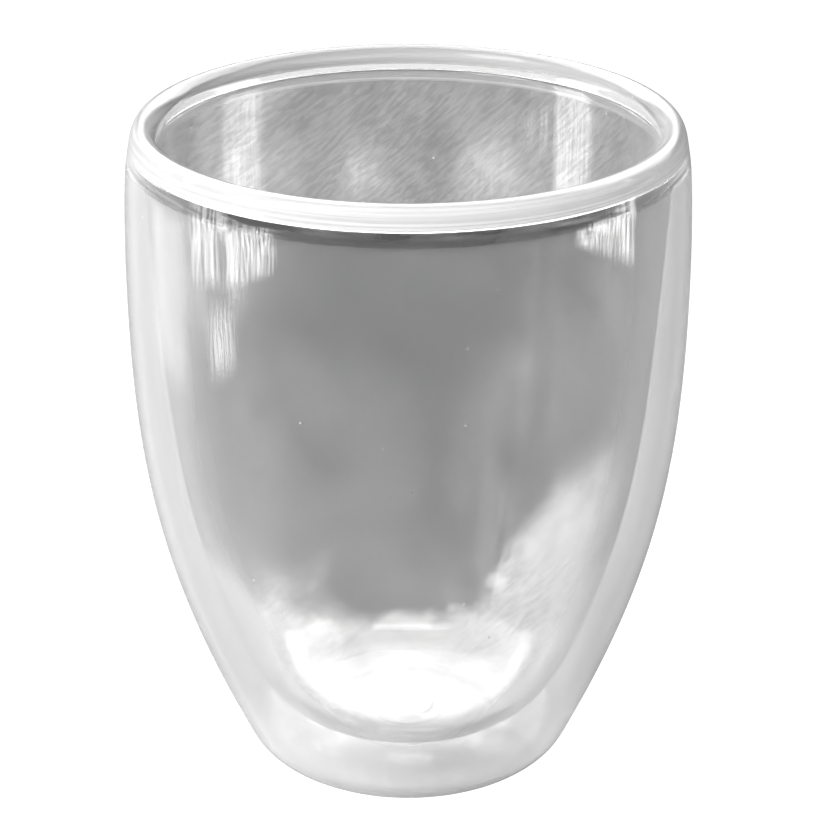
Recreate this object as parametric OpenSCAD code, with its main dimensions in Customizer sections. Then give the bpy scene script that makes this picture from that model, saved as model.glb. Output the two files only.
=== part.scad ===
// Double walled glass cup: an outer jacket and an inner bowl of clear blown glass,
// fused into one rim at the mouth, with still air between them and a soft vent plug in the base.
// The origin is the centre of the foot, +Z is up and the cup is round about Z.

/* [Whole cup] */
// Height from the table to the top of the rim
cup_h = 105; // [95:1:120]
// Largest outside diameter
belly_d = 86; // [82:1:94]
// Distance from the top of the rim down to the largest diameter
belly_drop = 23; // [18:1:32]

/* [Outer jacket] */
// Thickness of the jacket's glass
jacket_t = 1.6; // [1.2:0.1:2]
// Outside diameter of the flat ring that the cup stands on
foot_d = 41.2; // [38:0.2:46]
// Width of that flat ring
foot_ring_w = 3.2; // [2:0.2:5]
// Radius of the rounding between the foot and the side
foot_round = 6.5; // [4:0.5:9]
// Lean of the side just above the foot, in degrees from upright
foot_lean = 25; // [20:0.5:28]
// Height of the hollowed middle of the base above the table
punt_h = 1.6; // [1.4:0.1:2.4]
// Diameter of the flat land in the middle of the base
land_d = 17; // [15.5:0.5:20]

/* [Inner bowl] */
// Thickness of the bowl's glass
bowl_t = 1.6; // [1.2:0.1:2]
// Height of the bowl's underside above the table
bowl_lift = 6; // [5.6:0.2:9]
// Height above the bowl's underside where its round bottom turns into the side
hip_h = 15; // [12:0.5:18]
// Width of the air gap at that turn, measured level
hip_gap = 4; // [3:0.2:5]

/* [Rim] */
// Outside diameter of the rim where its rounded crown starts
rim_d = 83.4; // [80:0.2:86]
// Height of the rounded crown
crown_h = 2.7; // [2:0.1:3.2]
// Height of solid glass from the top of the rim down to the air gap
fused_h = 3.8; // [3.4:0.1:4.6]
// Distance from the top of the rim down to the seam with the two walls
seam_drop = 5.5; // [5.3:0.1:6.5]
// Inward lean of the jacket at the seam, in degrees from upright
rim_lean = 10; // [6:1:14]
// Width of the air gap at the seam
seam_gap = 1; // [0.8:0.1:1.3]

/* [Vent plug] */
// Narrowest diameter of the vent hole in the base
vent_d = 5; // [4:0.2:6]
// Diameter of the plug's outer flange
flange_d = 12; // [10:0.5:13]
// Thickness of the plug's outer flange
flange_t = 1.1; // [0.8:0.1:1.2]
// How far the plug's inner bead reaches past the middle of the hole's round edge
bead_lap = 0.9; // [0.8:0.1:1.5]
// Height of the plug's inner bead
bead_t = 1.2; // [0.8:0.1:1.4]
// Clearance between the plug's neck and the round edge of the hole
neck_gap = 0.05; // [0.02:0.01:0.15]
// Diameter of the dished middle of the flange
dish_d = 6; // [4:0.5:8]
// Depth of that dish
dish_h = 0.4; // [0.2:0.1:0.6]

/* [Hidden] */
// Shares of the run that each end of a wall's curve pulls along its own direction
foot_pull_share = 0.43;
belly_low_pull_share = 0.375;
belly_high_pull_share = 0.16;
rim_pull_share = 0.2;
// The same for the bowl's round bottom, as shares of its radius and of its height
pole_pull_share = 0.53;
hip_pull_share = 1.08;
// The air gap's middle widths, as shares of its width at the hip
gap_low_share = 0.88;
gap_high_share = 1.05;
// The same for the sweep from the land down to the foot ring
punt_pull_share = 0.45;
// Share of a quarter turn's radii that gives a round curve
round_share = 0.5523;
// Steps along each stretch of the sections
side_steps = 36;
upper_steps = 14;
fillet_steps = 10;
punt_steps = 10;
bottom_steps = 24;
crown_steps = 12;
small_steps = 8;
$fn = 120;

// Named places that the sections share
belly_z = cup_h - belly_drop;
seam_z = cup_h - seam_drop;
crown_z = cup_h - crown_h;
arch_z = cup_h - fused_h;
foot_r = foot_d / 2;
fillet_turn = 90 - foot_lean;
foot_top = [foot_r + foot_round * sin(fillet_turn), foot_round * (1 - cos(fillet_turn))];
belly = [belly_d / 2, belly_z];
crown_out = [rim_d / 2, crown_z];
seam_out = [rim_d / 2 + (crown_z - seam_z) * tan(rim_lean), seam_z];
seam_jacket_in = [seam_out[0] - jacket_t / cos(rim_lean), seam_z];
seam_bowl_out = [seam_jacket_in[0] - seam_gap, seam_z];
pole = [0, bowl_lift];
hip_z = bowl_lift + hip_h;
vent_r = vent_d / 2;
lip_r = jacket_t / 2;
lip_centre = [vent_r + lip_r, punt_h + lip_r];

// Directions and curves in the plane of the section, where x is the radius and y is the height
function unit(v) = v / norm(v);
function left_of(v) = [-v[1], v[0]];
function leaning(a) = [sin(a), cos(a)];
function sloping(slope) = unit([slope, 1]);
function curve(p, t) =
    pow(1 - t, 3) * p[0] + 3 * pow(1 - t, 2) * t * p[1] + 3 * (1 - t) * t * t * p[2] + pow(t, 3) * p[3];
function curve_way(p, t) =
    pow(1 - t, 2) * (p[1] - p[0]) + 2 * (1 - t) * t * (p[2] - p[1]) + t * t * (p[3] - p[2]);
function reversed(v) = [for (i = [len(v) - 1 : -1 : 0]) v[i]];

// A stretch of a section is a list of places, each with the unit direction towards its inside
function curve_stretch(p, steps, first = 0) =
    [for (i = [first : steps]) [curve(p, i / steps), left_of(unit(curve_way(p, i / steps)))]];
function arc_stretch(centre, r, turn, steps) =
    [for (i = [0 : steps])
        let (a = turn * i / steps)
        [centre + r * [sin(a), -cos(a)], [-sin(a), cos(a)]]];
function places(stretch, inset = 0) = [for (s = stretch) s[0] + inset * s[1]];
function arc_places(centre, radii, from, to, steps) =
    [for (i = [0 : steps])
        let (a = from + (to - from) * i / steps)
        centre + [radii[0] * cos(a), radii[1] * sin(a)]];

// The jacket's outer face, from the land under the plug to the seam
land_edge = [land_d / 2, punt_h];
ring_edge = [foot_r - foot_ring_w, 0];
punt_run = (ring_edge[0] - land_edge[0]) * punt_pull_share;
lower_run = belly_z - foot_top[1];
upper_run = seam_z - belly_z;
punt_curve = [land_edge, land_edge + [punt_run, 0], ring_edge - [punt_run, 0], ring_edge];
lower_curve = [
    foot_top,
    foot_top + foot_pull_share * lower_run * leaning(foot_lean),
    belly - [0, belly_low_pull_share * lower_run],
    belly
];
upper_curve = [
    belly,
    belly + [0, belly_high_pull_share * upper_run],
    seam_out - rim_pull_share * upper_run * leaning(-rim_lean),
    seam_out
];
jacket_side = concat(
    curve_stretch(lower_curve, side_steps, 1),
    curve_stretch(upper_curve, upper_steps, 1)
);
jacket_face = concat(
    [[[lip_centre[0], punt_h], [0, 1]]],
    curve_stretch(punt_curve, punt_steps),
    arc_stretch([foot_r, foot_round], foot_round, fillet_turn, fillet_steps),
    jacket_side
);

// The jacket's inside face as tables: its radius and its slope, outwards per step up, at each height
jacket_inside = [for (s = jacket_side) [s[0] + jacket_t * s[1], -s[1][1] / s[1][0]]];
radius_table = [for (s = jacket_inside) [s[0][1], s[0][0]]];
slope_table = [for (s = jacket_inside) [s[0][1], s[1]]];

// The air gap's level width along the bowl's wall, from the hip at share 0 to the seam at share 1
wall_run = seam_z - hip_z;
gap_curve = [hip_gap, gap_low_share * hip_gap, gap_high_share * hip_gap, seam_gap];
function gap_at(t) = curve(gap_curve, t);
function gap_slope(t) = 3 * curve_way(gap_curve, t) / wall_run;

// The bowl's outer face: a round bottom up to the hip, then a wall that follows the jacket at the gap's width
hip = [lookup(hip_z, radius_table) - hip_gap, hip_z];
hip_slope = lookup(hip_z, slope_table) - gap_slope(0);
mouth_slope = -tan(rim_lean) - gap_slope(1);
bottom_curve = [
    pole,
    pole + [pole_pull_share * hip[0], 0],
    hip - hip_pull_share * hip_h * sloping(hip_slope),
    hip
];
bowl_wall = [for (s = jacket_inside)
    let (t = (s[0][1] - hip_z) / wall_run)
    if (t > 0 && t < 1)
    [s[0] - [gap_at(t), 0], left_of(sloping(s[1] - gap_slope(t)))]];
bowl_face = concat(
    curve_stretch(bottom_curve, bottom_steps),
    bowl_wall,
    [[seam_bowl_out, left_of(sloping(mouth_slope))]]
);
bowl_inner_places = [for (p = places(bowl_face, bowl_t)) if (p[1] < seam_z) p];

// The rim's inner face carries on from the bowl's
seam_bowl_in = [seam_bowl_out[0] - bowl_t * norm([mouth_slope, 1]), seam_z];
crown_in = [seam_bowl_in[0] + (crown_z - seam_z) * mouth_slope, crown_z];
crown_top = [(crown_out[0] + crown_in[0]) / 2, cup_h];

// Outer wall: hollowed base with the vent hole, foot ring, side and shoulder up to the seam
module outer_jacket() {
    color([0.86, 0.89, 0.90, 0.45])
    rotate_extrude()
    polygon(concat(
        places(jacket_face),
        [seam_jacket_in],
        reversed(places(jacket_face, jacket_t)),
        arc_places(lip_centre, [lip_r, lip_r], 90, 270, small_steps)
    ));
}

// Inner wall: the bowl that holds the drink, closed at the bottom
module inner_bowl() {
    color([0.74, 0.76, 0.77, 0.45])
    rotate_extrude()
    polygon(concat(
        places(bowl_face),
        [seam_bowl_in],
        reversed(bowl_inner_places)
    ));
}

// Rim: solid ring that joins both walls, with a rounded crown and an arch over the air gap
module fused_rim() {
    half_out = crown_out[0] - crown_top[0];
    half_in = crown_top[0] - crown_in[0];
    outer_quarter = [
        crown_out,
        crown_out + round_share * crown_h * leaning(-rim_lean),
        crown_top + [round_share * half_out, 0],
        crown_top
    ];
    inner_quarter = [
        crown_top,
        crown_top - [round_share * half_in, 0],
        crown_in + round_share * crown_h * sloping(mouth_slope),
        crown_in
    ];
    arch_centre = [(seam_jacket_in[0] + seam_bowl_out[0]) / 2, seam_z];
    color([0.94, 0.95, 0.96, 0.6])
    rotate_extrude()
    polygon(concat(
        [seam_out],
        places(curve_stretch(outer_quarter, crown_steps)),
        places(curve_stretch(inner_quarter, crown_steps, 1)),
        [seam_bowl_in],
        reversed(arc_places(arch_centre, [seam_gap / 2, arch_z - seam_z], 0, 180, crown_steps))
    ));
}

// Plug: flange under the base, neck through the round-edged hole and a bead above it
module vent_plug() {
    bead_z = punt_h + jacket_t;
    neck_r = lip_r + neck_gap;
    bead_round = bead_t / 2;
    bead_centre = [lip_centre[0] + bead_lap - bead_round, bead_z + bead_round];
    flange_round = flange_t / 2;
    flange_centre = [flange_d / 2 - flange_round, punt_h - flange_round];
    color([0.93, 0.93, 0.92])
    rotate_extrude()
    polygon(concat(
        arc_places([0, punt_h - flange_t], [dish_d / 2, dish_h], 90, 0, small_steps),
        arc_places(flange_centre, [flange_round, flange_round], -90, 90, small_steps),
        [[lip_centre[0], punt_h]],
        reversed(arc_places(lip_centre, [neck_r, lip_r], 90, 270, small_steps)),
        [[lip_centre[0], bead_z]],
        arc_places(bead_centre, [bead_round, bead_round], -90, 90, small_steps),
        [[0, bead_z + bead_t]]
    ));
}

outer_jacket();
inner_bowl();
fused_rim();
vent_plug();
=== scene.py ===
"""Looks for the double walled glass cup: turned glass, floor, soft light and the photograph's camera."""
import math
from collections import namedtuple

import bpy
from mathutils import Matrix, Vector


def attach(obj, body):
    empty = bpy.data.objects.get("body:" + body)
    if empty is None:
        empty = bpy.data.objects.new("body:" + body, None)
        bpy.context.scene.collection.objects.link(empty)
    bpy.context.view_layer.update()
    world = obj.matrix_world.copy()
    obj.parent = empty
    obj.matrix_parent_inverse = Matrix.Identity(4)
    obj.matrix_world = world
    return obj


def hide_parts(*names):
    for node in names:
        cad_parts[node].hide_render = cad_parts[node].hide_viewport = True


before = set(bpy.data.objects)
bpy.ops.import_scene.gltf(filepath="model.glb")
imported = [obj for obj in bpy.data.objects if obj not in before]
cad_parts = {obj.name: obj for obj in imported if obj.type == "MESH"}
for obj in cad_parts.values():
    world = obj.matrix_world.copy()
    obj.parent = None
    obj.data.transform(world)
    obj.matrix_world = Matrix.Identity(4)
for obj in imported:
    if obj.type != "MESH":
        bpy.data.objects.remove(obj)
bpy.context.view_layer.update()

MM = 0.001
BODY = "root"

# Whole cup, in millimetres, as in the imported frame
cup_h = 105
belly_d = 86
belly_drop = 23

# Outer jacket
jacket_t = 1.6
foot_d = 41.2
foot_ring_w = 3.2
foot_round = 6.5
foot_lean = 25
punt_h = 1.6
land_d = 17

# Inner bowl
bowl_t = 1.6
bowl_lift = 6
hip_h = 15
hip_gap = 4

# Rim
rim_d = 83.4
crown_h = 2.7
fused_h = 3.8
seam_drop = 5.5
rim_lean = 10
seam_gap = 1

# Vent plug
vent_d = 5
flange_d = 12
flange_t = 1.1
bead_lap = 0.9
bead_t = 1.2
neck_gap = 0.05
dish_d = 6
dish_h = 0.4

# Shares that shape the curves
foot_pull_share = 0.43
belly_low_pull_share = 0.375
belly_high_pull_share = 0.16
rim_pull_share = 0.2
pole_pull_share = 0.53
hip_pull_share = 1.08
gap_low_share = 0.88
gap_high_share = 1.05
punt_pull_share = 0.45
round_share = 0.5523

# Mesh fineness
TURN_STEPS = 192
SIDE_STEPS = 72
UPPER_STEPS = 24
FILLET_STEPS = 16
PUNT_STEPS = 20
BOTTOM_STEPS = 44
CROWN_STEPS = 20
SMALL_STEPS = 14
TINY = 1e-6


# Curves in the plane of the section, where x is the radius and y is the height

def vec(x, y):
    return Vector((x, y))


UP = vec(0, 1)
DOWN = vec(0, -1)


def left_of(v):
    return vec(-v.y, v.x)


def leaning(degrees):
    a = math.radians(degrees)
    return vec(math.sin(a), math.cos(a))


def sloping(slope):
    return vec(slope, 1).normalized()


def curve(p, t):
    return (1 - t) ** 3 * p[0] + 3 * (1 - t) ** 2 * t * p[1] + 3 * (1 - t) * t * t * p[2] + t ** 3 * p[3]


def curve_way(p, t):
    return (1 - t) ** 2 * (p[1] - p[0]) + 2 * (1 - t) * t * (p[2] - p[1]) + t * t * (p[3] - p[2])


def curve_stretch(p, steps):
    """Places on a curve, each with the unit direction to the left of the way along it."""
    return [(curve(p, i / steps), left_of(curve_way(p, i / steps)).normalized()) for i in range(steps + 1)]


def arc_stretch(centre, radii, start, end, steps):
    """Places on an ellipse's arc, with the unit direction away from its middle."""
    out = []
    for i in range(steps + 1):
        a = math.radians(start + (end - start) * i / steps)
        way = vec(math.cos(a) / radii[0], math.sin(a) / radii[1]).normalized()
        out.append((centre + vec(radii[0] * math.cos(a), radii[1] * math.sin(a)), way))
    return out


def inset(stretch, depth):
    return [(p + depth * n, n) for p, n in stretch]


def flipped(stretch):
    return [(p, -n) for p, n in stretch]


def backwards(stretch):
    return stretch[::-1]


def straight(a, b):
    """A straight stretch whose direction points right of the way from a to b."""
    n = -left_of(b - a).normalized()
    return [(a, n), (b, n)]


def looked_up(height, stretch):
    """Radius and slope of a rising stretch at a height."""
    for (p, n), (q, m) in zip(stretch, stretch[1:]):
        if p.y <= height <= q.y:
            t = (height - p.y) / (q.y - p.y)
            return p.x + t * (q.x - p.x), -(n.y / n.x) * (1 - t) - (m.y / m.x) * t
    raise ValueError("the height is off the stretch")


# Named places of the section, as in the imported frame

belly_z = cup_h - belly_drop
seam_z = cup_h - seam_drop
crown_z = cup_h - crown_h
arch_z = cup_h - fused_h
foot_r = foot_d / 2
fillet_turn = math.radians(90 - foot_lean)
foot_top = vec(foot_r + foot_round * math.sin(fillet_turn), foot_round * (1 - math.cos(fillet_turn)))
belly = vec(belly_d / 2, belly_z)
crown_out = vec(rim_d / 2, crown_z)
seam_out = vec(rim_d / 2 + (crown_z - seam_z) * math.tan(math.radians(rim_lean)), seam_z)
seam_jacket_in = vec(seam_out.x - jacket_t / math.cos(math.radians(rim_lean)), seam_z)
seam_bowl_out = vec(seam_jacket_in.x - seam_gap, seam_z)
hip_z = bowl_lift + hip_h
lip_r = jacket_t / 2
lip_centre = vec(vent_d / 2 + lip_r, punt_h + lip_r)
land_edge = vec(land_d / 2, punt_h)
ring_edge = vec(foot_r - foot_ring_w, 0)
punt_run = (ring_edge.x - land_edge.x) * punt_pull_share
lower_run = belly_z - foot_top.y
upper_run = seam_z - belly_z

punt = curve_stretch([
    land_edge,
    land_edge + vec(punt_run, 0),
    ring_edge - vec(punt_run, 0),
    ring_edge,
], PUNT_STEPS)
fillet = flipped(arc_stretch(
    vec(foot_r, foot_round), (foot_round, foot_round), -90, -foot_lean, FILLET_STEPS))
lower_side = curve_stretch([
    foot_top,
    foot_top + foot_pull_share * lower_run * leaning(foot_lean),
    belly - vec(0, belly_low_pull_share * lower_run),
    belly,
], SIDE_STEPS)
upper_side = curve_stretch([
    belly,
    belly + vec(0, belly_high_pull_share * upper_run),
    seam_out - rim_pull_share * upper_run * leaning(-rim_lean),
    seam_out,
], UPPER_STEPS)
jacket_face = [(vec(lip_centre.x, punt_h), UP)] + punt + fillet + lower_side[1:] + upper_side[1:]
jacket_inside = inset(lower_side[1:] + upper_side[1:], jacket_t)

wall_run = seam_z - hip_z
gap_curve = [hip_gap, gap_low_share * hip_gap, gap_high_share * hip_gap, seam_gap]


def gap_slope(t):
    return 3 * curve_way(gap_curve, t) / wall_run


hip_jacket_r, hip_jacket_slope = looked_up(hip_z, jacket_inside)
hip = vec(hip_jacket_r - hip_gap, hip_z)
hip_slope = hip_jacket_slope - gap_slope(0)
mouth_slope = -math.tan(math.radians(rim_lean)) - gap_slope(1)
pole = vec(0, bowl_lift)
bowl_bottom = curve_stretch([
    pole,
    pole + vec(pole_pull_share * hip.x, 0),
    hip - hip_pull_share * hip_h * sloping(hip_slope),
    hip,
], BOTTOM_STEPS)
bowl_wall = []
for place, way in jacket_inside:
    share = (place.y - hip_z) / wall_run
    if 0 < share < 1:
        slope = -way.y / way.x - gap_slope(share)
        bowl_wall.append((place - vec(curve(gap_curve, share), 0), left_of(sloping(slope))))
bowl_face = bowl_bottom + bowl_wall + [(seam_bowl_out, left_of(sloping(mouth_slope)))]
seam_bowl_in = vec(seam_bowl_out.x - bowl_t * math.hypot(mouth_slope, 1), seam_z)
crown_in = vec(seam_bowl_in.x + (crown_z - seam_z) * mouth_slope, crown_z)
crown_top = vec((crown_out.x + crown_in.x) / 2, cup_h)


# Turned meshes

def joined(stretches):
    """One closed profile and its edges, from stretches that each have a material number.

    A stretch is a list of (place, outward direction). An edge has the numbers of its two places, the
    direction at each and the material number."""
    profile = []
    edges = []
    for stretch, material in stretches:
        for i, (p, n) in enumerate(stretch):
            if not profile or (p - profile[-1]).length > TINY:
                profile.append(p.copy())
            if i:
                edges.append((len(profile) - 2, len(profile) - 1, stretch[i - 1][1], n, material))
    if (profile[0] - profile[-1]).length <= TINY:
        profile.pop()
    return profile, edges


def on_circle(r, k):
    """X and Y at a radius, k steps round the axis."""
    a = 2 * math.pi * k / TURN_STEPS
    return r * math.cos(a), r * math.sin(a)


def spun(profile):
    """A mesh's corners, and for each place its first corner and whether it lies on the axis."""
    verts = []
    rings = []
    for p in profile:
        on_axis = abs(p.x) < TINY
        rings.append((len(verts), on_axis))
        for k in range(1 if on_axis else TURN_STEPS):
            x, y = on_circle(p.x, k)
            verts.append((x * MM, y * MM, p.y * MM))
    return verts, rings


def turned(name, stretches, materials):
    """A closed mesh turned about Z, from stretches that each have the number of one of the materials."""
    profile, edges = joined(stretches)
    verts, rings = spun(profile)

    def corner(i, k):
        first, on_axis = rings[i % len(rings)]
        return first if on_axis else first + k % TURN_STEPS

    faces = []
    normals = []
    numbers = []
    for i, j, n, m, number in edges:
        if corner(i, 0) == corner(j, 0):
            continue
        for k in range(TURN_STEPS):
            loop = [(corner(i, k), n, k), (corner(i, k + 1), n, k + 1)]
            loop += [(corner(j, k + 1), m, k + 1), (corner(j, k), m, k)]
            if rings[i % len(rings)][1]:
                loop.pop(0)
            elif rings[j % len(rings)][1]:
                loop.pop(2)
            faces.append([c for c, _, _ in loop])
            normals.extend((*on_circle(way.x, step), way.y) for _, way, step in loop)
            numbers.append(number)
    mesh = bpy.data.meshes.new(name)
    mesh.from_pydata(verts, [], faces)
    mesh.polygons.foreach_set("material_index", numbers)
    mesh.polygons.foreach_set("use_smooth", [True] * len(faces))
    mesh.normals_split_custom_set(normals)
    for material in materials:
        mesh.materials.append(material)
    mesh.validate()
    piece = bpy.data.objects.new(name, mesh)
    bpy.context.scene.collection.objects.link(piece)
    return piece


# Nodes that the materials share. A cloud's seed is that of its material, plus the cloud's own step.

Cloud = namedtuple("Cloud", "scale stretch detail step distortion span to", defaults=(0, 0, None, None))


def tree_of(owner):
    owner.use_nodes = True
    owner.node_tree.nodes.clear()
    return owner.node_tree


def feed(tree, value, socket):
    """Gives a socket a number, a grey or what another node puts out."""
    if not isinstance(value, (int, float)):
        tree.links.new(value, socket)
    elif socket.type == "RGBA":
        socket.default_value = (value, value, value, 1)
    else:
        socket.default_value = value


def ranged(tree, value, low, high, to_low, to_high):
    """A value eased from one range to another, held at both ends."""
    node = tree.nodes.new("ShaderNodeMapRange")
    node.interpolation_type = "SMOOTHSTEP"
    node.inputs["From Min"].default_value = low
    node.inputs["From Max"].default_value = high
    node.inputs["To Min"].default_value = to_low
    node.inputs["To Max"].default_value = to_high
    tree.links.new(value, node.inputs["Value"])
    return node.outputs["Result"]


def maths(tree, kind, a, b, clamp=False):
    """Two values put together."""
    node = tree.nodes.new("ShaderNodeMath")
    node.operation = kind
    node.use_clamp = clamp
    feed(tree, a, node.inputs[0])
    feed(tree, b, node.inputs[1])
    return node.outputs["Value"]


def times(tree, first, *others):
    """The product of all the values."""
    for value in others:
        first = maths(tree, "MULTIPLY", first, value)
    return first


def largest(tree, first, *others):
    for value in others:
        first = maths(tree, "MAXIMUM", first, value)
    return first


def one_less(tree, value):
    """What is left of 1 without a value."""
    return maths(tree, "SUBTRACT", 1, value)


def parts_of(tree, vector):
    """X, Y and Z of a vector."""
    split = tree.nodes.new("ShaderNodeSeparateXYZ")
    tree.links.new(vector, split.inputs["Vector"])
    return split.outputs


def cloud(tree, place, look, seed):
    """Soft noise from 0 to 1, drawn out along any axis whose stretch is small.

    A look with a span has that part of the noise eased to its own range."""
    mapping = tree.nodes.new("ShaderNodeMapping")
    mapping.inputs["Scale"].default_value = look.stretch
    tree.links.new(place, mapping.inputs["Vector"])
    noise = tree.nodes.new("ShaderNodeTexNoise")
    noise.noise_dimensions = "4D"
    noise.inputs["W"].default_value = seed + look.step
    noise.inputs["Scale"].default_value = look.scale
    noise.inputs["Detail"].default_value = look.detail
    noise.inputs["Distortion"].default_value = look.distortion
    tree.links.new(mapping.outputs["Vector"], noise.inputs["Vector"])
    if look.span:
        return ranged(tree, noise.outputs["Fac"], *look.span, *look.to)
    return noise.outputs["Fac"]


def plain(tree, kind, tone):
    """A shader with nothing but a grey."""
    shader = tree.nodes.new(kind)
    feed(tree, tone, shader.inputs["Color"])
    return shader.outputs["BSDF"]


def mixed(tree, share, first, second):
    """Two shaders, the first where the share is 0 and the second where it is 1."""
    mix = tree.nodes.new("ShaderNodeMixShader")
    tree.links.new(share, mix.inputs["Fac"])
    tree.links.new(first, mix.inputs[1])
    tree.links.new(second, mix.inputs[2])
    return mix.outputs["Shader"]


def glowing(tree, strength, shader):
    """A shader with light of a strength added."""
    light = tree.nodes.new("ShaderNodeEmission")
    tree.links.new(strength, light.inputs["Strength"])
    both = tree.nodes.new("ShaderNodeAddShader")
    tree.links.new(light.outputs["Emission"], both.inputs[0])
    tree.links.new(shader, both.inputs[1])
    return both.outputs["Shader"]


def show(tree, shader):
    out = tree.nodes.new("ShaderNodeOutputMaterial")
    tree.links.new(shader, out.inputs["Surface"])


# Where the glass changes. A ramp eases a value along one of these axes: X, Y, Z, side, reach and drop,
# which are in millimetres, and turn. Side is how far left or right a place is, reach how far from the cup's
# axis and drop how far below its brim. Turn goes from 0, where the glass is seen square on, to 1 at its
# outline. Tints, films and shades are greys, and a haze is a share.

Ramp = namedtuple("Ramp", "axis low high at_low at_high")
Spot = namedtuple("Spot", "material tree seed place axes")

# All the glass
GLASS_IOR = 1.47
JACKET_SHADE = 0.97
BOWL_SHADE = 0.96
WAVES = Cloud(scale=30, stretch=(1, 1, 0.35), detail=1)
PATCHES = Cloud(
    scale=40, stretch=(1, 1, 0.6), detail=2, step=1, distortion=0.3, span=(0.3, 0.7), to=(0.9, 1.12))
SPECK_SCALE = 260
SPECK_SIZE = 0.045
SPECK_SHARE = 0.15
SPECK_HAZE = 0.9

# Jacket, which is hazier where the front of its foot meets the table. Painted shade: its tint is darker low
# at the front of the foot, its film darker near the table and more so to the right, and both darker towards
# the outline, the shade of the glass's edge
JACKET_SEED = 3
JACKET_WAVE = 0.005
FOOT_FRONT = Ramp("Y", -14, -4, 1, 0)
FOOT_TINT = Ramp("Z", 6, 22, 0.93, 0.97)
FOOT_TINT_BACKWARD = Ramp("Y", -14, -4, 0.93, 0.97)
FOOT_SHADOW = Ramp("Z", 0.3, 5, 0.28, 0)
FOOT_HAZE = Ramp("Z", 3, 15, 0.12, 0)
FOOT_FILM = Ramp("Z", 6, 22, 0.95, 0.7)
GROUND_SHADE_HAZE = Ramp("Z", 0.3, 4.4, 0.85, 0)
PAINTED_GROUND_SHADE = Ramp("Z", 0, 5.5, 0.48, 0)
PAINTED_GROUND_SHADE_RIGHTWARD = Ramp("X", -15, 20, 0.6, 1.6)
JACKET_HAZE = Ramp("turn", 0.12, 0.82, 0.012, 0.7)
JACKET_TINT_TURNED = Ramp("turn", 0.6, 0.95, 1, 0.75)
JACKET_FILM_TURNED = Ramp("turn", 0.72, 0.96, 1, 0.6)

# Painted shade of the bowl: a grey tint that stands in for the darker surroundings seen through the clear
# glass, clear at the bottom. Its ragged lower edge is higher at the right and softer behind and at the sides
BOWL_SEED = 8
PAINTED_SHADE_Z = 39
PAINTED_SHADE_EDGE = 2.5
PAINTED_SHADE_TINTS = (0.98, 0.245)
PAINTED_SHADE_RISE = Ramp("X", 6, 24, 0, 19)
PAINTED_SHADE_RISE_BACKWARD = Ramp("Y", -10, 20, 1, 0.8)
PAINTED_SHADE_RAGGED = Cloud(
    scale=90, stretch=(1, 1, 1), detail=4, step=7, distortion=0.5, span=(0.3, 0.7), to=(-3, 3))
PAINTED_SHADE_SOFT_BACKWARD = Ramp("Y", -22, 14, 0, 17)
PAINTED_SHADE_SOFT_SIDEWAYS = Ramp("side", 6, 24, 2.5, 7)

# Darker and paler parts of the painted shade: random blotches, painted light that makes the top and sides
# paler, and painted shade in a band above the bottom, in a strip at the right front and in a thin line below
# the rim at the front
BLOTCHES = Cloud(
    scale=55, stretch=(1, 1, 0.7), detail=3, step=3, distortion=1.2, span=(0.3, 0.7), to=(0.82, 1.18))
PALE_UPWARD = Ramp("Z", 58, 82, 1, 1.62)
PALE_RIGHTWARD = Ramp("X", 20, 38, 1, 1.2)
PALE_LEFTWARD = Ramp("X", -34, -13, 1.5, 1)
BAND_LIFT = Ramp("Y", -8, 8, 14, 0)
BAND_TOP = (46, 60, 0.87, 1)
BAND_BOTTOM = Ramp("Z", 28, 40, 1, 0.87)
STRIP = Ramp("X", 28, 36, 0, 0.55)
STRIP_FRONT = Ramp("Y", -26, 4, 1, 0)
STRIP_UPWARD = Ramp("Z", 62, 84, 0, 1)
LINE = (5.4, 7.4, 0.4, 0)
LINE_FRONT = Ramp("Y", -16, -2, 1, 0)
LINE_RAGGED = Cloud(scale=150, stretch=(1, 1, 0.3), detail=4, step=4)
LINE_RAGGED_DEPTH = 1.6

# Slanted strokes on the bowl's inside, a painted reflection of the surroundings
STROKE_TURN = (24, -51, 0)
STROKES = Cloud(scale=1900, stretch=(1, 0.03, 0.22), detail=1, step=8, span=(0.35, 0.65), to=(-0.15, 0.15))
STROKES_UPWARD = Ramp("Z", 66, 76, 0.3, 1)
STROKES_DOWNWARD = Ramp("Z", 42, 50, 0.7, 0)
STROKES_SIDEWAYS = Ramp("side", 5, 10, 0, 1)

# Both faces of the bowl. The haze's film is darker where the painted shade is, and tint and film darken
# towards the outline, painted shade of the glass's edge
BOWL_WAVE = 0.012
BOWL_HAZE = Ramp("turn", 0.5, 0.88, 0.012, 0.75)
BOWL_HAZE_UPWARD = Ramp("Z", 24.5, 41.5, 0.35, 1)
BOWL_FILM = Ramp("Z", PAINTED_SHADE_Z - PAINTED_SHADE_EDGE, PAINTED_SHADE_Z + PAINTED_SHADE_EDGE, 0.9, 0.33)
BOWL_TINT_TURNED = Ramp("turn", 0.6, 0.95, 1, 0.35)
BOWL_FILM_TURNED = Ramp("turn", 0.72, 0.96, 1, 0.6)
INSIDE_HAZE = Ramp("turn", 0.5, 0.95, 0.012, 0.4)
INSIDE_FILM = Ramp("Z", PAINTED_SHADE_Z - PAINTED_SHADE_EDGE, PAINTED_SHADE_Z + PAINTED_SHADE_EDGE, 0.99, 0.8)

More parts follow.
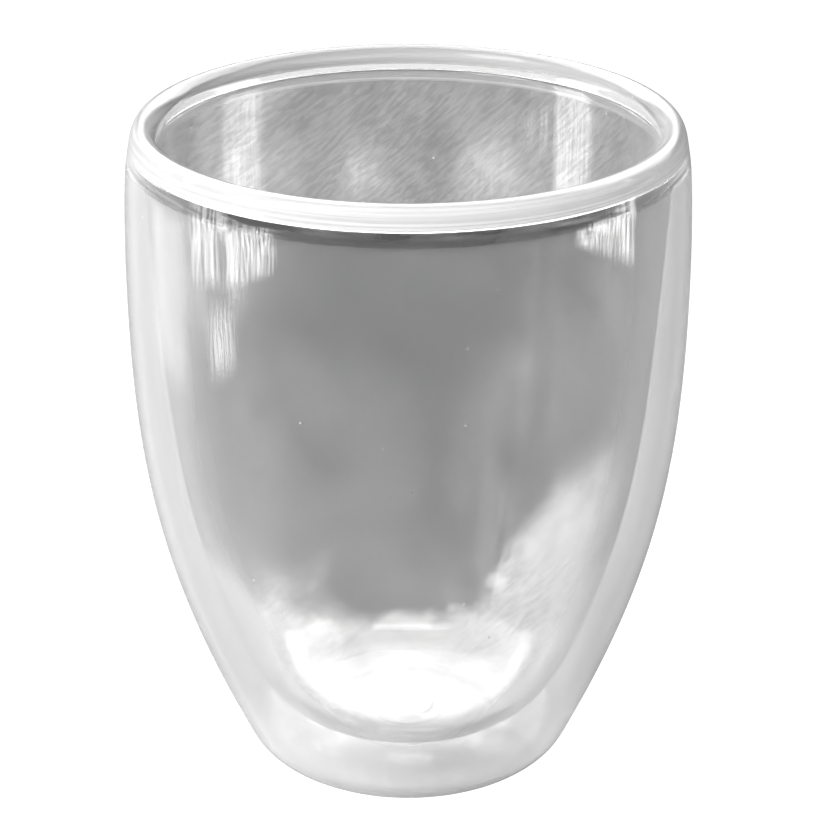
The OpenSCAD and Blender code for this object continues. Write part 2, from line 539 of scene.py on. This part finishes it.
# Rim, whose crown is milky with drawn lines round it, over a painted dark line of shade at the front. Its
# film is darker behind and towards the outline: painted shade
RIM_SEED = 5
RIM_WAVE = 0.02
RIM_TINT = 0.97
RIM_HAZE = Ramp("turn", 0.12, 0.82, 0.05, 0.45)
RIM_HAZE_TURNED = Ramp("turn", 0.72, 0.92, 0, 0.97)
MILK = Ramp("drop", 3.2, 3.5, 0.95, 0)
MILK_OUTWARD = Ramp("reach", crown_in.x, crown_out.x, 0.45, 1)
MILK_LINES = Cloud(scale=60, stretch=(0.25, 0.25, 45), detail=3, step=2, span=(0.42, 0.58), to=(0.7, 1))
UNDER_TOP = Ramp("drop", 3.3, 3.5, 0, 1)
UNDER_DOWNWARD = Ramp("drop", 4.1, 5.5, 1, 0.3)
UNDER_FRONT = Ramp("Y", -34, -16, 1, 0)
UNDER_TURNED = Ramp("turn", 0.3, 0.5, 1, 0)
UNDER_RAGGED = Cloud(scale=120, stretch=(1, 1, 6), detail=4, step=6, span=(0.36, 0.62), to=(0.35, 0.95))
RIM_BACK = Ramp("Y", -5, 25, 0, 1)
RIM_BACK_HAZE = Ramp("drop", 1.7, 2.7, 0.6, 0)
RIM_BACK_FILM = (0, 1, 1, 0.66)
RIM_FILM = Ramp("drop", 3.35, 3.55, 0.9, 0)
RIM_FILM_BACKWARD = Ramp("Y", -32, -10, 0.08, 0.9)
RIM_FILM_TURNED = Ramp("turn", 0.72, 0.96, 1, 0.65)

# Inside of the rim, and its arch over the air gap, whose grey tints carry on the bowl's painted shade
RIM_HIDDEN_FILM = 0.8
RIM_INNER_TINT = 0.72
RIM_INNER_HAZE = Ramp("turn", 0.12, 0.82, 0.03, 0.25)
ARCH_TINT = 0.55
ARCH_HAZE = Ramp("turn", 0.12, 0.82, 0.03, 0.1)

# Silicone
SILICONE_COLOUR = (0.72, 0.72, 0.71, 1)
SILICONE_ROUGHNESS = 0.5
SILICONE_IOR = 1.41


# Glass

def new_spot(name, seed):
    """A new material, with all that its ramps follow."""
    material = bpy.data.materials.new(name)
    tree = tree_of(material)
    place = tree.nodes.new("ShaderNodeTexCoord").outputs["Object"]
    in_mm = tree.nodes.new("ShaderNodeVectorMath")
    in_mm.operation = "SCALE"
    in_mm.inputs["Scale"].default_value = 1 / MM
    tree.links.new(place, in_mm.inputs[0])
    x, y, z = parts_of(tree, in_mm.outputs["Vector"])
    layer = tree.nodes.new("ShaderNodeLayerWeight")
    layer.inputs["Blend"].default_value = 0.5
    squared = maths(tree, "ADD", times(tree, x, x), times(tree, y, y))
    axes = {
        "X": x,
        "Y": y,
        "Z": z,
        "side": maths(tree, "ABSOLUTE", x, 0),
        "reach": maths(tree, "SQRT", squared, 0),
        "drop": maths(tree, "SUBTRACT", cup_h, z),
        "turn": layer.outputs["Facing"],
    }
    return Spot(material, tree, seed, place, axes)


def ramp(spot, look):
    return ranged(spot.tree, spot.axes[look.axis], look.low, look.high, look.at_low, look.at_high)


def clouded(spot, look):
    return cloud(spot.tree, spot.place, look, spot.seed)


def specks(spot):
    """1 on sparse tiny dots and 0 elsewhere: dust and seeds in the glass."""
    tree = spot.tree
    mapping = tree.nodes.new("ShaderNodeMapping")
    mapping.inputs["Location"].default_value = (spot.seed, 0, 0)
    tree.links.new(spot.place, mapping.inputs["Vector"])
    cells = tree.nodes.new("ShaderNodeTexVoronoi")
    cells.inputs["Scale"].default_value = SPECK_SCALE
    tree.links.new(mapping.outputs["Vector"], cells.inputs["Vector"])
    split = tree.nodes.new("ShaderNodeSeparateColor")
    tree.links.new(cells.outputs["Color"], split.inputs["Color"])
    dot = maths(tree, "LESS_THAN", cells.outputs["Distance"], SPECK_SIZE)
    kept = maths(tree, "LESS_THAN", split.outputs["Red"], SPECK_SHARE)
    return times(tree, dot, kept)


def clear_body(spot, tint, wave):
    """Refracting glass of a tint, with slow waves of a depth in millimetres from its blowing."""
    tree = spot.tree
    body = tree.nodes.new("ShaderNodeBsdfPrincipled")
    body.inputs["IOR"].default_value = GLASS_IOR
    body.inputs["Transmission Weight"].default_value = 1
    body.inputs["Roughness"].default_value = 0
    feed(tree, tint, body.inputs["Base Color"])
    bump = tree.nodes.new("ShaderNodeBump")
    bump.inputs["Strength"].default_value = 1
    bump.inputs["Distance"].default_value = wave * MM
    tree.links.new(clouded(spot, WAVES), bump.inputs["Height"])
    tree.links.new(bump.outputs["Normal"], body.inputs["Normal"])
    return body.outputs["BSDF"]


def glass(spot, tint, wave, haze, film, shade):
    """Glass under a thin film of haze.

    film is the haze's own tone, and shade is what each crossing leaves of a shadow ray."""
    tree = spot.tree
    haze = maths(tree, "MAXIMUM", haze, times(tree, specks(spot), SPECK_HAZE), clamp=True)
    hazy = mixed(tree, haze, clear_body(spot, tint, wave), plain(tree, "ShaderNodeBsdfDiffuse", film))
    path = tree.nodes.new("ShaderNodeLightPath").outputs
    unseen = largest(tree, path["Is Shadow Ray"], path["Is Diffuse Ray"])
    show(tree, mixed(tree, unseen, hazy, plain(tree, "ShaderNodeBsdfTransparent", shade)))
    return spot.material


def patchy(spot, look):
    """Haze that grows towards the outline, in faint patches."""
    return times(spot.tree, ramp(spot, look), clouded(spot, PATCHES))


def jacket_glass():
    spot = new_spot("jacket_glass", JACKET_SEED)
    tree = spot.tree
    front = ramp(spot, FOOT_FRONT)
    # Tint darker low at the front of the foot and towards the outline: painted shade.
    tint = times(
        tree,
        largest(tree, ramp(spot, FOOT_TINT), ramp(spot, FOOT_TINT_BACKWARD)),
        ramp(spot, JACKET_TINT_TURNED),
        one_less(tree, times(tree, ramp(spot, FOOT_SHADOW), front)),
    )
    # Haze near the table at the front, under a darker film: painted shade.
    haze = largest(
        tree,
        patchy(spot, JACKET_HAZE),
        ramp(spot, FOOT_HAZE),
        times(tree, ramp(spot, GROUND_SHADE_HAZE), front),
    )
    # Film darker near the table, more so to the right, and towards the outline: painted shade.
    film = times(
        tree,
        ramp(spot, FOOT_FILM),
        ramp(spot, JACKET_FILM_TURNED),
        one_less(tree, times(tree, ramp(spot, PAINTED_GROUND_SHADE), ramp(spot, PAINTED_GROUND_SHADE_RIGHTWARD))),
    )
    return glass(spot, tint, JACKET_WAVE, haze, film, JACKET_SHADE)


def painted_shade(spot):
    """The bowl's painted shade: a grey tint, clear at its bottom and grey above the ragged edge."""
    tree = spot.tree
    rise = times(tree, ramp(spot, PAINTED_SHADE_RISE), ramp(spot, PAINTED_SHADE_RISE_BACKWARD))
    level = maths(tree, "SUBTRACT", spot.axes["Z"], rise)
    level = maths(tree, "ADD", level, clouded(spot, PAINTED_SHADE_RAGGED))
    level = maths(tree, "SUBTRACT", level, PAINTED_SHADE_Z)
    softness = maths(tree, "ADD", ramp(spot, PAINTED_SHADE_SOFT_BACKWARD), ramp(spot, PAINTED_SHADE_SOFT_SIDEWAYS))
    return ranged(tree, maths(tree, "DIVIDE", level, softness), -1, 1, *PAINTED_SHADE_TINTS)


def dark_line(spot):
    """How dark the thin uneven line of painted shade below the rim is."""
    tree = spot.tree
    uneven = times(tree, clouded(spot, LINE_RAGGED), LINE_RAGGED_DEPTH)
    line = ranged(tree, maths(tree, "SUBTRACT", spot.axes["drop"], uneven), *LINE)
    return times(tree, line, ramp(spot, LINE_FRONT))


def painted_shade_tones(spot):
    """Blotches, painted light on the top and sides, a painted dark band above the bottom, and the painted
    dark strip and line at the front.
    """
    tree = spot.tree
    lowered = maths(tree, "SUBTRACT", spot.axes["Z"], ramp(spot, BAND_LIFT))
    band = largest(tree, ranged(tree, lowered, *BAND_TOP), ramp(spot, BAND_BOTTOM))
    strip = times(tree, ramp(spot, STRIP), ramp(spot, STRIP_FRONT), ramp(spot, STRIP_UPWARD))
    return times(
        tree,
        clouded(spot, BLOTCHES),
        ramp(spot, PALE_UPWARD),
        ramp(spot, PALE_RIGHTWARD),
        ramp(spot, PALE_LEFTWARD),
        band,
        one_less(tree, strip),
        one_less(tree, dark_line(spot)),
    )


def painted_reflected_strokes(spot):
    """Fine strokes of painted reflection, strongest in the mouth and weaker low at the sides."""
    tree = spot.tree
    slanted = tree.nodes.new("ShaderNodeMapping")
    slanted.inputs["Rotation"].default_value = [math.radians(angle) for angle in STROKE_TURN]
    tree.links.new(spot.place, slanted.inputs["Vector"])
    strokes = cloud(tree, slanted.outputs["Vector"], STROKES, spot.seed)
    low = times(tree, ramp(spot, STROKES_DOWNWARD), ramp(spot, STROKES_SIDEWAYS))
    strength = largest(tree, ramp(spot, STROKES_UPWARD), low)
    return maths(tree, "ADD", 1, times(tree, strokes, strength))


def bowl_glass():
    spot = new_spot("bowl_glass", BOWL_SEED)
    tree = spot.tree
    # Tint: painted shade, its darker and paler parts, and a painted darker outline.
    tint = times(tree, painted_shade(spot), painted_shade_tones(spot), ramp(spot, BOWL_TINT_TURNED))
    haze = times(tree, patchy(spot, BOWL_HAZE), ramp(spot, BOWL_HAZE_UPWARD))
    film = times(tree, ramp(spot, BOWL_FILM), ramp(spot, BOWL_FILM_TURNED))
    return glass(spot, tint, BOWL_WAVE, haze, film, BOWL_SHADE)


def bowl_inside_glass():
    spot = new_spot("bowl_inside_glass", BOWL_SEED)
    tree = spot.tree
    # Tint: painted shade, its darker and paler parts, and painted reflected strokes.
    tint = times(tree, painted_shade(spot), painted_shade_tones(spot), painted_reflected_strokes(spot))
    haze = times(tree, patchy(spot, INSIDE_HAZE), ramp(spot, BOWL_HAZE_UPWARD))
    return glass(spot, tint, BOWL_WAVE, haze, ramp(spot, INSIDE_FILM), BOWL_SHADE)


def rim_glass():
    spot = new_spot("rim_glass", RIM_SEED)
    tree = spot.tree
    back = ramp(spot, RIM_BACK)
    # Painted shade: under is a dark line below the crown at the front, made of haze over a dark film; behind,
    # the crown is hazier and the film darker; the film also darkens towards the outline.
    under = times(
        tree,
        ramp(spot, UNDER_TOP),
        ramp(spot, UNDER_DOWNWARD),
        ramp(spot, UNDER_TURNED),
        ramp(spot, UNDER_FRONT),
        clouded(spot, UNDER_RAGGED),
    )
    haze = largest(
        tree,
        patchy(spot, RIM_HAZE),
        times(tree, ramp(spot, MILK), ramp(spot, MILK_OUTWARD), clouded(spot, MILK_LINES)),
        ramp(spot, RIM_HAZE_TURNED),
        under,
        times(tree, back, ramp(spot, RIM_BACK_HAZE)),
    )
    film = times(
        tree,
        largest(tree, ramp(spot, RIM_FILM), ramp(spot, RIM_FILM_BACKWARD)),
        ramp(spot, RIM_FILM_TURNED),
        ranged(tree, back, *RIM_BACK_FILM),
    )
    return glass(spot, RIM_TINT, RIM_WAVE, haze, film, JACKET_SHADE)


def rim_hidden_glass(name, tint, haze):
    """Glass of the rim's faces that look into the bowl or into the air gap."""
    spot = new_spot(name, RIM_SEED)
    return glass(spot, tint, RIM_WAVE, patchy(spot, haze), RIM_HIDDEN_FILM, BOWL_SHADE)


def fused_seam():
    """The face where two pieces of glass are melted together: nothing to see, the glass runs on."""
    material = bpy.data.materials.new("fused_seam")
    tree = tree_of(material)
    show(tree, plain(tree, "ShaderNodeBsdfTransparent", 1))
    return material


def silicone():
    material = bpy.data.materials.new("plug_silicone")
    tree = tree_of(material)
    body = tree.nodes.new("ShaderNodeBsdfPrincipled")
    body.inputs["Base Color"].default_value = SILICONE_COLOUR
    body.inputs["Roughness"].default_value = SILICONE_ROUGHNESS
    body.inputs["IOR"].default_value = SILICONE_IOR
    show(tree, body.outputs["BSDF"])
    return material


# Pieces

seam = fused_seam()


def make_jacket():
    inside = backwards(inset(jacket_face, jacket_t))
    piece = turned("outer_jacket_glass", [
        (flipped(jacket_face), 0),
        (backwards(straight(seam_jacket_in, seam_out)), 1),
        ([(seam_jacket_in, inside[0][1])] + inside, 0),
        (arc_stretch(lip_centre, (lip_r, lip_r), 90, 270, SMALL_STEPS), 0),
    ], [jacket_glass(), seam])
    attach(piece, BODY)
    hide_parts("outer_jacket")


def make_bowl():
    inside = [s for s in backwards(inset(bowl_face, bowl_t)) if s[0].y < seam_z]
    piece = turned("inner_bowl_glass", [
        (flipped(bowl_face), 0),
        (backwards(straight(seam_bowl_in, seam_bowl_out)), 1),
        ([(seam_bowl_in, inside[0][1])] + inside, 2),
    ], [bowl_glass(), seam, bowl_inside_glass()])
    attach(piece, BODY)
    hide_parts("inner_bowl")


def make_rim():
    half_out = crown_out.x - crown_top.x
    half_in = crown_top.x - crown_in.x
    outer_quarter = curve_stretch([
        crown_out,
        crown_out + round_share * crown_h * leaning(-rim_lean),
        crown_top + vec(round_share * half_out, 0),
        crown_top,
    ], CROWN_STEPS)
    inner_quarter = curve_stretch([
        crown_top,
        crown_top - vec(round_share * half_in, 0),
        crown_in + round_share * crown_h * sloping(mouth_slope),
        crown_in,
    ], CROWN_STEPS)
    arch_centre = vec((seam_jacket_in.x + seam_bowl_out.x) / 2, seam_z)
    arch = flipped(arc_stretch(arch_centre, (seam_gap / 2, arch_z - seam_z), 180, 0, CROWN_STEPS))
    outer_way = -outer_quarter[0][1]
    inner_way = -inner_quarter[-1][1]
    rim_inner = rim_hidden_glass("rim_inner_glass", RIM_INNER_TINT, RIM_INNER_HAZE)
    rim_arch = rim_hidden_glass("rim_arch_glass", ARCH_TINT, ARCH_HAZE)
    piece = turned("fused_rim_glass", [
        ([(seam_out, outer_way), (crown_out, outer_way)] + flipped(outer_quarter)[1:], 0),
        (flipped(inner_quarter), 0),
        ([(crown_in, inner_way), (seam_bowl_in, inner_way)], 2),
        ([(seam_bowl_in, DOWN), (seam_bowl_out, DOWN)], 1),
        (arch, 3),
        ([(seam_jacket_in, DOWN), (seam_out, DOWN)], 1),
    ], [rim_glass(), seam, rim_inner, rim_arch])
    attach(piece, BODY)
    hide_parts("fused_rim")


def make_plug():
    bead_z = punt_h + jacket_t
    neck_r = lip_r + neck_gap
    bead_round = bead_t / 2
    bead_centre = vec(lip_centre.x + bead_lap - bead_round, bead_z + bead_round)
    flange_round = flange_t / 2
    flange_centre = vec(flange_d / 2 - flange_round, punt_h - flange_round)
    dish = flipped(arc_stretch(vec(0, punt_h - flange_t), (dish_d / 2, dish_h), 90, 0, SMALL_STEPS))
    flange = arc_stretch(flange_centre, (flange_round, flange_round), -90, 90, SMALL_STEPS)
    neck = flipped(arc_stretch(lip_centre, (neck_r, lip_r), 270, 90, SMALL_STEPS))
    bead = arc_stretch(bead_centre, (bead_round, bead_round), -90, 90, SMALL_STEPS)
    piece = turned("vent_plug_silicone", [
        (dish, 0),
        ([(dish[-1][0], DOWN), (flange[0][0], DOWN)], 0),
        (flange, 0),
        ([(flange[-1][0], UP), (neck[0][0], UP)], 0),
        (neck, 0),
        ([(neck[-1][0], DOWN), (bead[0][0], DOWN)], 0),
        (bead, 0),
        ([(bead[-1][0], UP), (vec(0, bead_z + bead_t), UP)], 0),
    ], [silicone()])
    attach(piece, BODY)
    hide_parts("vent_plug")


make_jacket()
make_bowl()
make_rim()
make_plug()


# Stage, light and camera. Cards and the camera are placed in millimetres, and all else here in metres.

AIM_Z = 0.03

# Floor
FLOOR_CORNERS = 96
FLOOR_RADIUS = 6
FLOOR_TONE = 0.8
FLOOR_LIFT = 0.43

# Sky, as a strength along the direction's Z and X
SKY_UPWARD = (0.2, 0.8, 0.95, 0.45)
SKY_RIGHTWARD = (-0.8, 0.8, 1, 0.4)
SKY_SEEN = 1.25

# Lamps
LAMP_SIZE = 1
LAMP_DISTANCE = 2.4

# Glowing sheets
STREAKS = Cloud(scale=6, stretch=(4.5, 0.3, 1), detail=4, distortion=0.2)
STREAK_SPAN = (0.42, 0.58)
CUT_SOFTNESS = 0.2
SWEEP_ACROSS = 12
SWEEP_UP = 24

# Camera
CAMERA_Y = -357.73
CAMERA_Z = 215.45
CAMERA_DOWN = 23.878
CAMERA_LENS = 109.35
CAMERA_SENSOR = 36
CAMERA_SHIFT = 0.002


def around(azimuth, elevation, distance, height):
    """A place seen from the cup's axis: azimuth 0 is towards the camera and 90 its right."""
    a = math.radians(azimuth)
    e = math.radians(elevation)
    way = Vector((math.sin(a) * math.cos(e), -math.cos(a) * math.cos(e), math.sin(e)))
    return way * distance + Vector((0, 0, height))


def floor_paper():
    """A pale surface that keeps the shadow; what is seen of it is lifted towards white."""
    material = bpy.data.materials.new("floor_paper")
    tree = tree_of(material)
    path = tree.nodes.new("ShaderNodeLightPath").outputs
    seen = maths(tree, "ADD", path["Is Camera Ray"], path["Is Glossy Ray"], clamp=True)
    seen = maths(tree, "ADD", seen, path["Is Transmission Ray"], clamp=True)
    show(tree, glowing(tree, times(tree, seen, FLOOR_LIFT), plain(tree, "ShaderNodeBsdfDiffuse", FLOOR_TONE)))
    return material


def make_floor():
    bpy.ops.mesh.primitive_circle_add(
        vertices=FLOOR_CORNERS, radius=FLOOR_RADIUS, fill_type="NGON", location=(0, 0, 0))
    floor = bpy.context.object
    floor.name = "floor"
    floor.data.materials.append(floor_paper())


def make_world():
    """Soft surroundings: bright near the horizon, dimmer overhead and to the right, white to the camera."""
    world = bpy.data.worlds.new("studio")
    bpy.context.scene.world = world
    tree = tree_of(world)
    out = tree.nodes.new("ShaderNodeOutputWorld")
    sky = tree.nodes.new("ShaderNodeBackground")
    way = parts_of(tree, tree.nodes.new("ShaderNodeTexCoord").outputs["Generated"])
    soft = times(tree, ranged(tree, way["Z"], *SKY_UPWARD), ranged(tree, way["X"], *SKY_RIGHTWARD))
    seen = times(tree, tree.nodes.new("ShaderNodeLightPath").outputs["Is Camera Ray"], SKY_SEEN)
    tree.links.new(largest(tree, soft, seen), sky.inputs["Strength"])
    tree.links.new(sky.outputs["Background"], out.inputs["Surface"])


def glow_sheet(name, mesh, radiance, seed, fade, streaks, cut=0):
    """A sheet with soft borders and faint upright streaks, which only glass and polished surfaces see.

    fade is how much of it each border takes, across and up, and cut is how steeply its lower edge climbs."""
    material = bpy.data.materials.new(name)
    tree = tree_of(material)
    uv = tree.nodes.new("ShaderNodeTexCoord").outputs["UV"]
    spread = parts_of(tree, uv)
    glow = ranged(tree, cloud(tree, uv, STREAKS, seed), *STREAK_SPAN, 1 - streaks, 1 + streaks)
    for axis, part in zip("XY", fade):
        value = spread[axis]
        glow = times(tree, glow, ranged(tree, value, 0, part, 0, 1), ranged(tree, value, 1 - part, 1, 1, 0))
    if cut:
        above = maths(tree, "SUBTRACT", spread["Y"], times(tree, spread["X"], cut))
        glow = times(tree, glow, ranged(tree, above, 0, CUT_SOFTNESS, 0, 1))
    clear = plain(tree, "ShaderNodeBsdfTransparent", 1)
    show(tree, glowing(tree, times(tree, glow, radiance), clear))
    mesh.materials.append(material)
    sheet = bpy.data.objects.new(name, mesh)
    bpy.context.scene.collection.objects.link(sheet)
    sheet.visible_camera = False
    sheet.visible_diffuse = False
    sheet.visible_shadow = False


def glow_card(name, low, high, radiance, seed, fade, streaks, cut=0):
    """An upright glowing card. low and high are two opposite corners in millimetres."""
    corners = [low, (high[0], high[1], low[2]), high, (low[0], low[1], high[2])]
    mesh = bpy.data.meshes.new(name)
    mesh.from_pydata([[c * MM for c in corner] for corner in corners], [], [(0, 1, 2, 3)])
    layer = mesh.uv_layers.new(name="UVMap")
    for loop, uv in zip(layer.data, ((0, 0), (1, 0), (1, 1), (0, 1))):
        loop.uv = uv
    glow_sheet(name, mesh, radiance, seed, fade, streaks, cut)


def glow_sweep(name, half_width, elevations, distance, radiance, seed, fade, streaks):
    """A bent soft box that rises behind the cup and arches over it, as wide at the top as at the foot."""
    verts = []
    for j in range(SWEEP_UP + 1):
        elevation = elevations[0] + (elevations[1] - elevations[0]) * j / SWEEP_UP
        edge = around(180, elevation, distance, AIM_Z)
        for i in range(SWEEP_ACROSS + 1):
            verts.append((half_width * (1 - 2 * i / SWEEP_ACROSS), edge.y, edge.z))
    row = SWEEP_ACROSS + 1
    faces = []
    for j in range(SWEEP_UP):
        for i in range(SWEEP_ACROSS):
            first = j * row + i
            faces.append((first, first + 1, first + row + 1, first + row))
    mesh = bpy.data.meshes.new(name)
    mesh.from_pydata(verts, [], faces)
    layer = mesh.uv_layers.new(name="UVMap")
    for loop, uv in zip(mesh.loops, layer.data):
        up, across = divmod(loop.vertex_index, row)
        uv.uv = (across / SWEEP_ACROSS, up / SWEEP_UP)
    glow_sheet(name, mesh, radiance, seed, fade, streaks)


def soft_lamp(name, azimuth, elevation, radiance):
    """A square soft box that faces the cup, given by how bright its face is."""
    data = bpy.data.lights.new(name, "AREA")
    data.shape = "RECTANGLE"
    data.size = LAMP_SIZE
    data.size_y = LAMP_SIZE
    data.energy = radiance * math.pi * LAMP_SIZE ** 2
    lamp = bpy.data.objects.new(name, data)
    lamp.location = around(azimuth, elevation, LAMP_DISTANCE, AIM_Z)
    lamp.rotation_mode = "QUATERNION"
    lamp.rotation_quaternion = (Vector((0, 0, AIM_Z)) - lamp.location).to_track_quat("-Z", "Y")
    lamp.visible_camera = False
    bpy.context.scene.collection.objects.link(lamp)
    return lamp


def make_camera():
    data = bpy.data.cameras.new("camera")
    data.sensor_width = CAMERA_SENSOR
    data.lens = CAMERA_LENS
    data.shift_x = CAMERA_SHIFT
    camera = bpy.data.objects.new("camera", data)
    camera.location = (0, CAMERA_Y * MM, CAMERA_Z * MM)
    camera.rotation_euler = (math.radians(90 - CAMERA_DOWN), 0, 0)
    bpy.context.scene.collection.objects.link(camera)
    bpy.context.scene.camera = camera


def make_cards():
    """Window light from the left and right, and pale bars and patches behind the mouth."""
    glow_sweep(
        "back_box", half_width=1.7, elevations=(14, 88), distance=1.2,
        radiance=16, seed=7, fade=(0.1, 0.25), streaks=0.1)
    glow_card(
        "left_window", (-170, -155, 40), (-170, -12, 105),
        radiance=4.8, seed=1, fade=(0.1, 0.15), streaks=0.95)
    glow_card(
        "left_side", (-170, -10, 0), (-170, 75, 75),
        radiance=2, seed=2, fade=(0.25, 0.25), streaks=0.4)
    glow_card(
        "left_low", (-170, -85, 8), (-170, -30, 42),
        radiance=4, seed=12, fade=(0.4, 0.4), streaks=0.8)
    glow_card(
        "right_window", (170, 0, 44), (170, -92, 90),
        radiance=6, seed=3, fade=(0.08, 0.05), streaks=0.7, cut=0.35)
    glow_card(
        "back_right", (29.5, 100, 52), (39.5, 100, 96),
        radiance=1.1, seed=8, fade=(0.2, 0.15), streaks=0.3)
    glow_card(
        "back_left", (-41, 100, 52), (-29, 100, 90),
        radiance=0.7, seed=9, fade=(0.3, 0.2), streaks=0.3)
    glow_card(
        "back_soft_left", (-20, 100, 52), (0, 100, 72),
        radiance=0.5, seed=10, fade=(0.5, 0.5), streaks=0.2)
    glow_card(
        "back_soft_right", (6, 100, 52), (28, 100, 74),
        radiance=0.5, seed=11, fade=(0.5, 0.5), streaks=0.2)


def make_lamps():
    """A key from the front left, and a weaker fill from the front right that the glass doesn't mirror."""
    soft_lamp("key", azimuth=312, elevation=45, radiance=14)
    fill = soft_lamp("fill", azimuth=55, elevation=50, radiance=2.4)
    fill.visible_glossy = False
    fill.visible_transmission = False


make_floor()
make_world()
make_lamps()
make_cards()
make_camera()
bpy.context.scene.view_settings.view_transform = "Standard"
